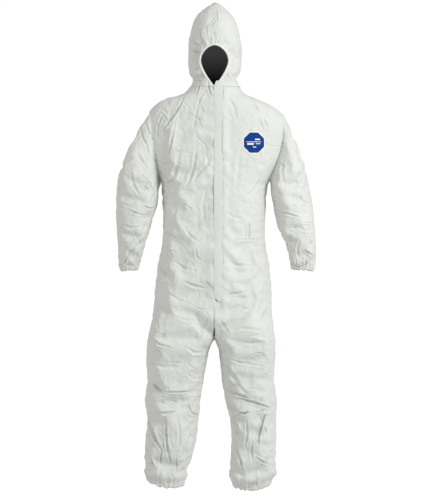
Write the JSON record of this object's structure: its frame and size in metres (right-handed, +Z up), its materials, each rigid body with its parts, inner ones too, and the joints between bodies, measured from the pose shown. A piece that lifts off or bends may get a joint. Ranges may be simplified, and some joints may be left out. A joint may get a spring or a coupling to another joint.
{
  "type": "chemical protective suit",
  "caption": "Hooded one-piece coverall of thin off-white non-woven fabric, with a zipped front under a storm flap and elastic hems at face, wrists, waist and ankles.",
  "frame": {"origin": "middle of the wearer's neck, level with the bottom of the face opening", "axes": "+Z up along the wearer's height; -Y is the front with the zip and the face opening; +X is the wearer's left"},
  "size_m": [0.7445, 0.2785, 1.808],
  "materials": {
    "suit_fabric": "matte",
    "hem_fabric": "matte",
    "elastic": "matte",
    "label_white": "satin",
    "label_blue": "satin",
    "zip_tape": "matte",
    "zip_plastic": "satin"
  },
  "bodies": {
    "root": {"front_left_body": "suit_fabric", "front_right_body": "suit_fabric", "back_left_body": "suit_fabric", "back_right_body": "suit_fabric", "left_sleeve_head": "suit_fabric", "right_sleeve_head": "suit_fabric", "left_hip_fold": "suit_fabric", "right_hip_fold": "suit_fabric", "crotch_gusset": "suit_fabric", "neck_fold": "suit_fabric", "waist_elastic": "elastic", "size_label": "label_white", "zip_tape_left": "zip_tape", "zip_tape_right": "zip_tape", "zip_coil_left": "zip_plastic", "zip_coil_right": "zip_plastic", "zip_top_stop_left": "zip_plastic", "zip_top_stop_right": "zip_plastic", "zip_bottom_stop": "zip_plastic", "storm_flap_seam": "suit_fabric", "label_backing": "label_white", "label_print": "label_blue"},
    "hood": {"hood_left": "suit_fabric", "hood_right": "suit_fabric", "face_hem": "hem_fabric", "face_elastic": "elastic"},
    "left_sleeve": {"left_sleeve": "suit_fabric", "left_wrist_hem": "hem_fabric", "left_wrist_elastic": "elastic"},
    "right_sleeve": {"right_sleeve": "suit_fabric", "right_wrist_hem": "hem_fabric", "right_wrist_elastic": "elastic"},
    "left_leg": {"front_left_leg": "suit_fabric", "back_left_leg": "suit_fabric", "left_ankle_hem": "hem_fabric", "left_ankle_elastic": "elastic"},
    "right_leg": {"front_right_leg": "suit_fabric", "back_right_leg": "suit_fabric", "right_ankle_hem": "hem_fabric", "right_ankle_elastic": "elastic"},
    "storm_flap": {"storm_flap": "suit_fabric"},
    "zip_slider": {"zip_slider": "zip_plastic"},
    "zip_pull": {"zip_pull": "zip_plastic"}
  },
  "joints": [
    {"name": "hood_tilt", "type": "hinge", "parent": "root", "child": "hood", "pos_m": [0, 0.05, 0], "axis": [-1, 0, 0], "range_deg": [0, 30], "deforming": ["neck_fold", "face_hem", "face_elastic"]},
    {"name": "left_sleeve_raise", "type": "hinge", "parent": "root", "child": "left_sleeve", "pos_m": [0.235, 0.008, -0.15], "axis": [0, -1, 0], "range_deg": [0, 80], "deforming": ["left_sleeve_head"]},
    {"name": "right_sleeve_raise", "type": "hinge", "parent": "root", "child": "right_sleeve", "pos_m": [-0.228, 0.008, -0.15], "axis": [0, 1, 0], "range_deg": [0, 80], "deforming": ["right_sleeve_head"]},
    {"name": "left_leg_step", "type": "hinge", "parent": "root", "child": "left_leg", "pos_m": [0.12, 0.004, -0.91], "axis": [-1, 0, 0], "range_deg": [-20, 45], "deforming": ["left_hip_fold", "crotch_gusset"]},
    {"name": "right_leg_step", "type": "hinge", "parent": "root", "child": "right_leg", "pos_m": [-0.135, 0.004, -0.91], "axis": [-1, 0, 0], "range_deg": [-20, 45], "deforming": ["right_hip_fold"]},
    {"name": "storm_flap_open", "type": "hinge", "parent": "root", "child": "storm_flap", "pos_m": [0.0313, -0.1115, -0.4], "axis": [0, 0.0437, 0.999], "range_deg": [0, 150]},
    {"name": "zip_slide", "type": "slide", "parent": "root", "child": "zip_slider", "axis": [0, -0.0437, -0.999], "range_m": [0, 0.74]},
    {"name": "zip_pull_lift", "type": "hinge", "parent": "zip_slider", "child": "zip_pull", "pos_m": [0.008, -0.08855, -0.0285], "axis": [-1, 0, 0], "range_deg": [0, 12]}
  ]
}
